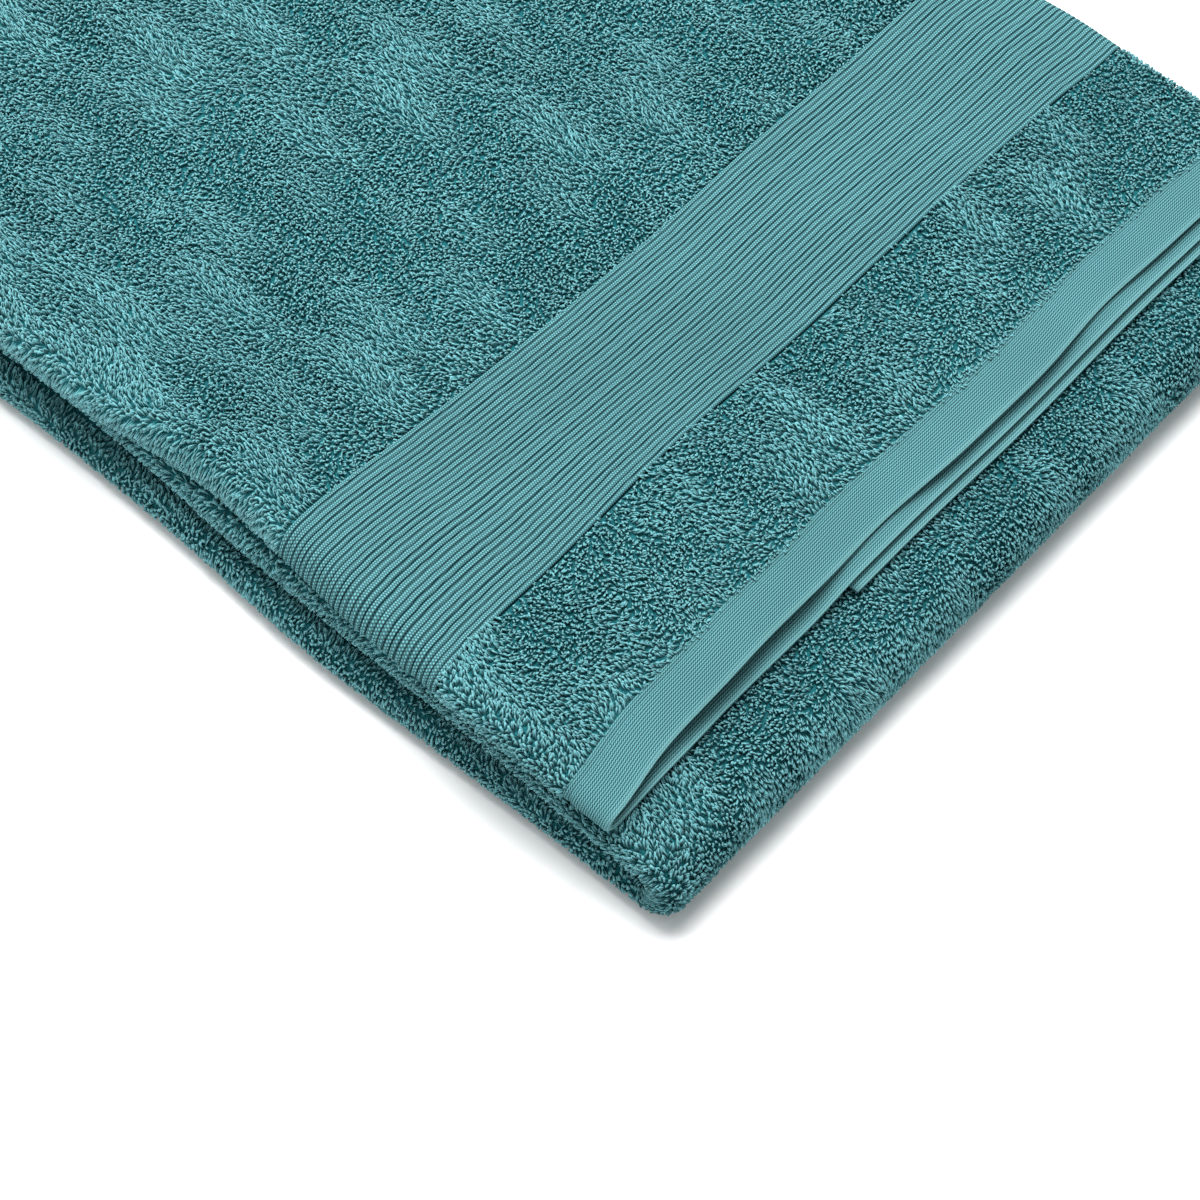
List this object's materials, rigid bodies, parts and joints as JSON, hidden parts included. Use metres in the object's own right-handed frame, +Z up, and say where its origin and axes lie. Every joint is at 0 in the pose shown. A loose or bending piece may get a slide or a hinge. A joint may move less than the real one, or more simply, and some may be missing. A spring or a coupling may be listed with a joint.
{
  "type": "folded bath towel",
  "caption": "Cotton terry bath towel with ribbed end bands and flat hems, folded in thirds both ways; its top section opens back on the fold.",
  "frame": {"origin": "under the middle of the folded towel, on the surface it lies on", "axes": "+X along the folded length, towards the front fold that the top end hem lies beside; -Y towards the near long fold; +Z up"},
  "size_m": [0.4776, 0.2658, 0.0329],
  "materials": {
    "terry": "teal cotton terry, looped pile on both faces",
    "ribbed_band": "teal cotton woven in raised crosswise ribs, without loops",
    "flat_hem": "teal cotton, flat weave, turned in twice",
    "stitching": "matching sewing thread, lockstitch"
  },
  "bodies": {
    "lower_sections": {"bottom_terry": "terry", "bottom_side_hem_near_flap": "flat_hem", "bottom_side_stitching_near_flap": "stitching", "bottom_side_hem_far_flap": "flat_hem", "bottom_side_stitching_far_flap": "stitching", "front_fold_terry": "terry", "front_fold_side_hem_near_flap": "flat_hem", "front_fold_side_stitching_near_flap": "stitching", "front_fold_side_hem_far_flap": "flat_hem", "front_fold_side_stitching_far_flap": "stitching", "middle_end_hem": "flat_hem", "middle_end_stitching": "stitching", "middle_terry_strip": "terry", "middle_ribbed_band": "ribbed_band", "middle_terry_field": "terry", "middle_side_hem_near_flap": "flat_hem", "middle_side_stitching_near_flap": "stitching", "middle_side_hem_far_flap": "flat_hem", "middle_side_stitching_far_flap": "stitching", "back_fold_terry": "terry", "back_fold_side_hem_near_flap": "flat_hem", "back_fold_side_stitching_near_flap": "stitching", "back_fold_side_hem_far_flap": "flat_hem", "back_fold_side_stitching_far_flap": "stitching"},
    "top_section": {"top_end_hem": "flat_hem", "top_end_stitching": "stitching", "top_terry_strip": "terry", "top_ribbed_band": "ribbed_band", "top_terry_field": "terry", "top_side_hem_near_flap": "flat_hem", "top_side_stitching_near_flap": "stitching", "top_side_hem_far_flap": "flat_hem", "top_side_stitching_far_flap": "stitching"}
  },
  "joints": [
    {"name": "back_fold", "type": "hinge", "parent": "lower_sections", "child": "top_section", "pos_m": [-0.23877, 0, 0.01645], "axis": [0, -1, 0], "range_deg": [0, 180], "deforming": ["back_fold_terry", "back_fold_side_hem_near_flap", "back_fold_side_stitching_near_flap", "back_fold_side_hem_far_flap", "back_fold_side_stitching_far_flap"]}
  ]
}
